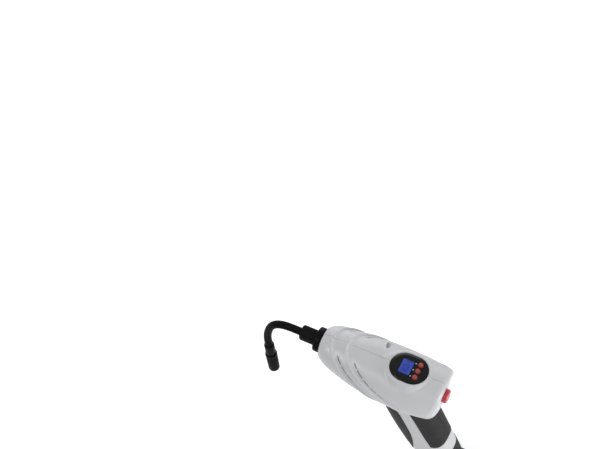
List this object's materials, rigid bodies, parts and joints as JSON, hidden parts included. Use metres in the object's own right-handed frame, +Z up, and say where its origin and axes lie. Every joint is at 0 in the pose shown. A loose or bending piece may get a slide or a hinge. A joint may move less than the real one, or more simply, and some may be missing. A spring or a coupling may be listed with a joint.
{
  "type": "portable tire inflator",
  "caption": "Pistol-shaped cordless tyre inflator with a short hose and swivelling chuck, a display with three keys, a rear power button and a battery pack that slides out of the handle.",
  "frame": {"origin": "centre of the battery pack's flat underside", "axes": "+Z up, -X to the nose and hose, +X to the power button, -Y the left side"},
  "size_m": [0.2778, 0.0724, 0.2162],
  "materials": {
    "shell_plastic": "fine satin grain",
    "grip_rubber": "matte",
    "black_plastic": "satin",
    "pack_plastic": "fine grain",
    "gloss_black": "polished",
    "screen": "glossy, lit blue",
    "red_plastic": "satin",
    "light_plastic": "frosted",
    "white_nylon": "satin",
    "hose_rubber": "satin",
    "seal_rubber": "matte",
    "steel": "plain",
    "aluminium": "cast",
    "brass": "turned",
    "circuit_board": "lacquered",
    "cell_wrap": "shrink film"
  },
  "bodies": {
    "housing": {"left_shell": "shell_plastic", "right_shell": "shell_plastic", "shell_screws": "steel", "front_grip": "grip_rubber", "left_side_grip": "grip_rubber", "right_side_grip": "grip_rubber", "lower_grip": "grip_rubber", "nose_collar": "black_plastic", "collar_nut": "steel", "display_bezel": "gloss_black", "lcd_window": "screen", "lcd_module": "screen", "indicator_lights": "light_plastic", "display_board": "circuit_board", "key_domes": "steel", "button_spring": "steel", "power_switch": "black_plastic", "pump_frame": "aluminium", "motor_can": "steel", "motor_end_cap": "white_nylon", "motor_screws": "steel", "gear_axle": "steel", "pump_cylinder": "aluminium", "head_seal": "hose_rubber", "cylinder_head": "aluminium", "head_screws": "steel", "pressure_sensor": "black_plastic", "sensor_tube": "white_nylon", "control_board": "circuit_board", "handle_contacts": "brass", "latch_springs": "steel", "outlet_barb": "brass", "hose_sleeve": "hose_rubber", "hose": "hose_rubber", "hose_ferrule": "black_plastic", "chuck_body": "brass", "valve_seal": "seal_rubber", "valve_pin": "steel"},
    "rotor": {"rotor_core": "steel", "rotor_shaft": "steel", "commutator": "brass", "motor_pinion": "brass"},
    "crank": {"crank_gear": "white_nylon", "crank_pin": "steel"},
    "piston_group": {"connecting_rod": "aluminium", "piston": "aluminium", "piston_seal": "white_nylon"},
    "battery": {"battery_case": "pack_plastic", "battery_base": "pack_plastic", "battery_cells": "cell_wrap", "cell_board": "circuit_board", "battery_contacts": "brass", "battery_screws": "steel"},
    "power_button_body": {"power_button": "red_plastic"},
    "minus_key_body": {"minus_key": "red_plastic"},
    "mode_key_body": {"mode_key": "red_plastic"},
    "plus_key_body": {"plus_key": "red_plastic"},
    "chuck_grip": {"chuck_sleeve": "black_plastic"},
    "left_latch_body": {"left_latch": "black_plastic"},
    "right_latch_body": {"right_latch": "black_plastic"}
  },
  "joints": [
    {"name": "motor_spin", "type": "hinge", "parent": "housing", "child": "rotor", "pos_m": [-0.056, 0, 0.16], "axis": [0, 0, 1], "continuous": true},
    {"name": "crank_spin", "type": "hinge", "parent": "housing", "child": "crank", "pos_m": [-0.0866, 0, 0.18], "axis": [0, 0, 1], "continuous": true},
    {"name": "piston_stroke", "type": "slide", "parent": "housing", "child": "piston_group", "axis": [-1, 0, 0], "range_m": [0, 0.014]},
    {"name": "power_button_press", "type": "slide", "parent": "housing", "child": "power_button_body", "axis": [-1, 0, 0], "range_m": [0, 0.0025], "stiffness_N_per_m": 900, "deforming": ["button_spring"]},
    {"name": "minus_key_press", "type": "slide", "parent": "housing", "child": "minus_key_body", "axis": [0, 0, -1], "range_m": [0, 0.0007], "stiffness_N_per_m": 1500},
    {"name": "mode_key_press", "type": "slide", "parent": "housing", "child": "mode_key_body", "axis": [0, 0, -1], "range_m": [0, 0.0007], "stiffness_N_per_m": 1500},
    {"name": "plus_key_press", "type": "slide", "parent": "housing", "child": "plus_key_body", "axis": [0, 0, -1], "range_m": [0, 0.0007], "stiffness_N_per_m": 1500},
    {"name": "chuck_turn", "type": "hinge", "parent": "housing", "child": "chuck_grip", "pos_m": [-0.23505, 0, 0.09447], "axis": [0.1219, 0, -0.9925], "continuous": true},
    {"name": "battery_out", "type": "slide", "parent": "housing", "child": "battery", "axis": [0.4461, 0, -0.895], "range_m": [0, 0.086]},
    {"name": "left_latch_press", "type": "slide", "parent": "battery", "child": "left_latch_body", "axis": [0, 1, 0], "range_m": [0, 0.002], "stiffness_N_per_m": 2500, "deforming": ["latch_springs"]},
    {"name": "right_latch_press", "type": "slide", "parent": "battery", "child": "right_latch_body", "axis": [0, -1, 0], "range_m": [0, 0.002], "stiffness_N_per_m": 2500, "deforming": ["latch_springs"]}
  ],
  "couplings": [
    {"joint": "crank_spin", "follows": "motor_spin", "ratio": -0.21429}
  ]
}
